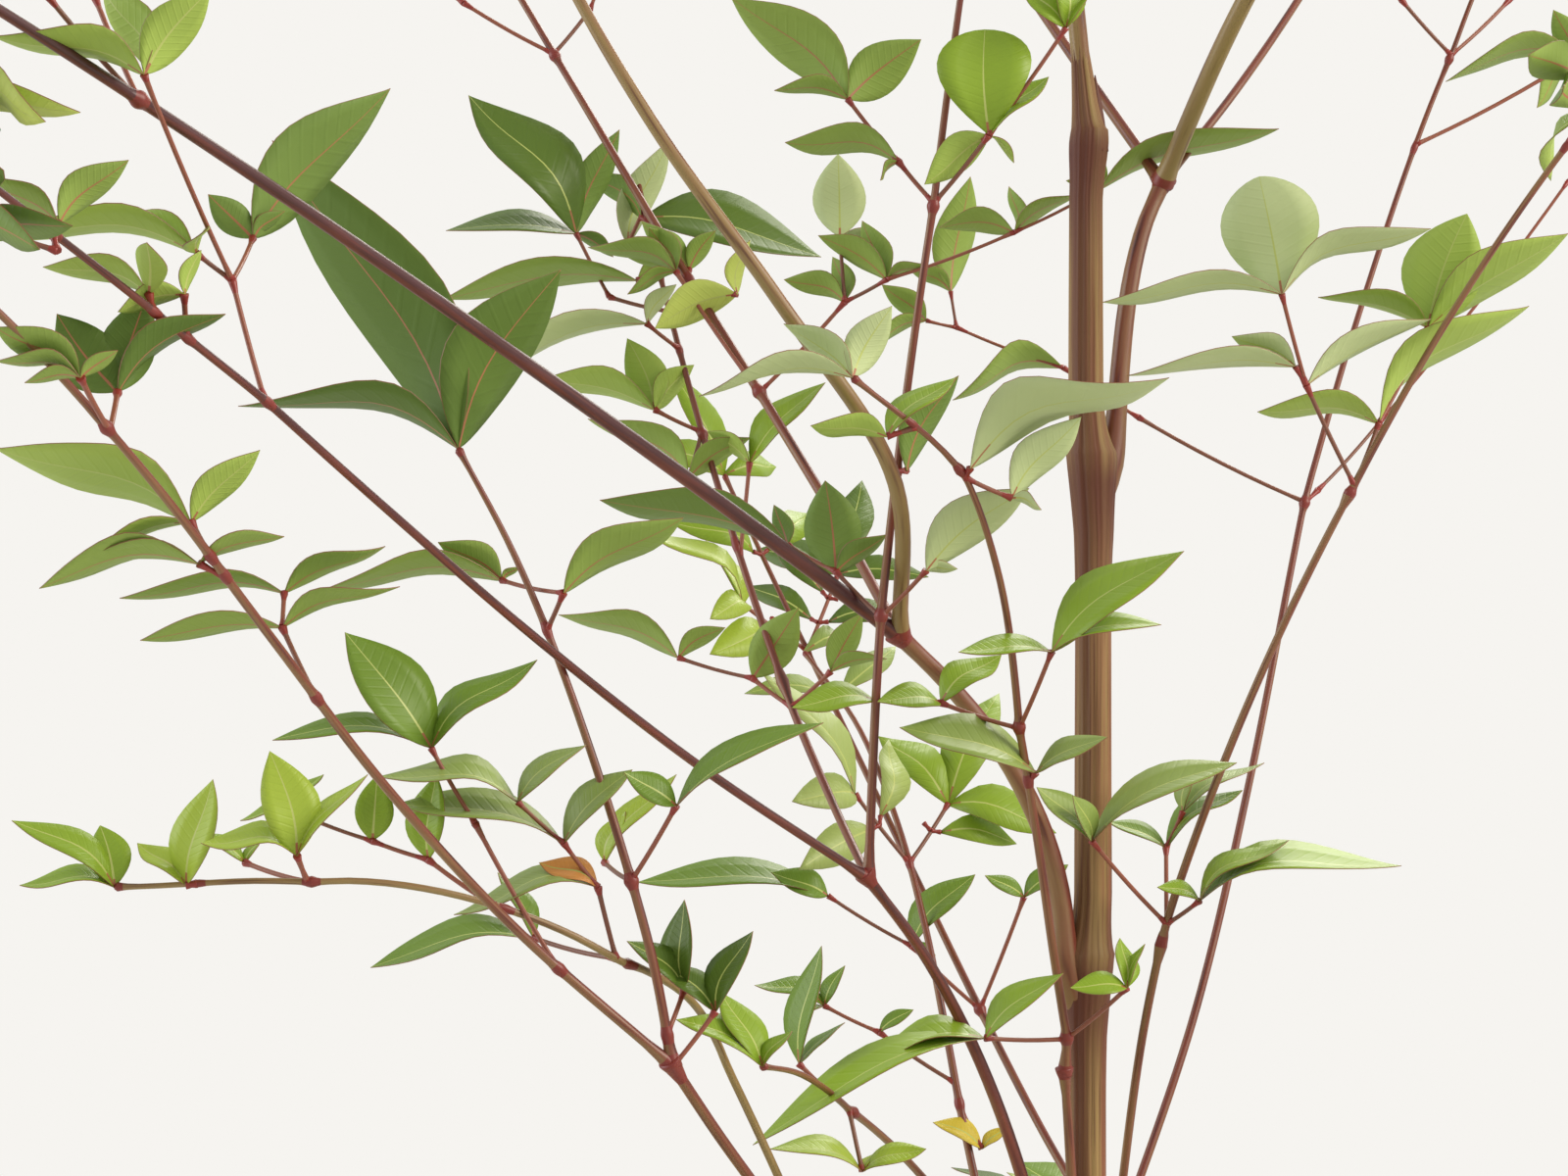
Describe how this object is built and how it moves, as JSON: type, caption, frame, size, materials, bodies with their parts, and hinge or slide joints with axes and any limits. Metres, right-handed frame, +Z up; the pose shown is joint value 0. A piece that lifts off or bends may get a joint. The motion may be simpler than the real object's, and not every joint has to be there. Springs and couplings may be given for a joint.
{
  "type": "heavenly bamboo shrub",
  "caption": "Young heavenly bamboo with an upright jointed cane, bare below, and large airy leaves whose fine forked stalks carry sets of pointed leaflets all round.",
  "frame": {"origin": "centre of the cane's flat cut at ground level", "axes": "+Z up along the cane, +X to the viewer's right, +Y away from the viewer"},
  "size_m": [0.7387, 0.8264, 1.4575],
  "materials": {
    "bark": "dull fibrous olive-brown bark",
    "stalk": "satin red-brown skin",
    "leaves": "glossy green leaflets on thin stalks"
  },
  "bodies": {
    "root": {"arching_limb": "leaves", "arching_stalk": "stalk", "cane": "bark", "crest_left": "leaves", "crest_right": "leaves", "crest_stalk": "stalk", "crest_up": "leaves", "east_left": "leaves", "east_middle": "leaves", "east_right": "leaves", "east_stalk": "stalk", "fork": "stalk", "fork_left": "leaves", "fork_right": "leaves", "forked_side": "leaves", "forked_stalk": "stalk", "front_rise": "leaves", "front_stalk": "stalk", "left_back": "leaves", "left_reach": "leaves", "left_rise": "leaves", "left_stalk": "stalk", "low_east_left": "leaves", "low_east_middle": "leaves", "low_east_right": "leaves", "low_east_stalk": "stalk", "low_left_back": "leaves", "low_left_reach": "leaves", "low_left_rise": "leaves", "low_left_stalk": "stalk", "north_left": "leaves", "north_middle": "leaves", "north_right": "leaves", "north_stalk": "stalk", "rear_arch": "leaves", "rear_low": "leaves", "rear_rise": "leaves", "rear_stalk": "stalk", "right_back": "leaves", "right_behind": "leaves", "right_front": "leaves", "right_stalk": "stalk", "south_left": "leaves", "south_middle": "leaves", "south_right": "leaves", "south_stalk": "stalk", "upper_back": "leaves", "upper_left": "leaves", "upper_right": "leaves", "upper_stalk": "stalk", "west_left": "leaves", "west_middle": "leaves", "west_right": "leaves", "west_stalk": "stalk"}
  },
  "joints": []
}
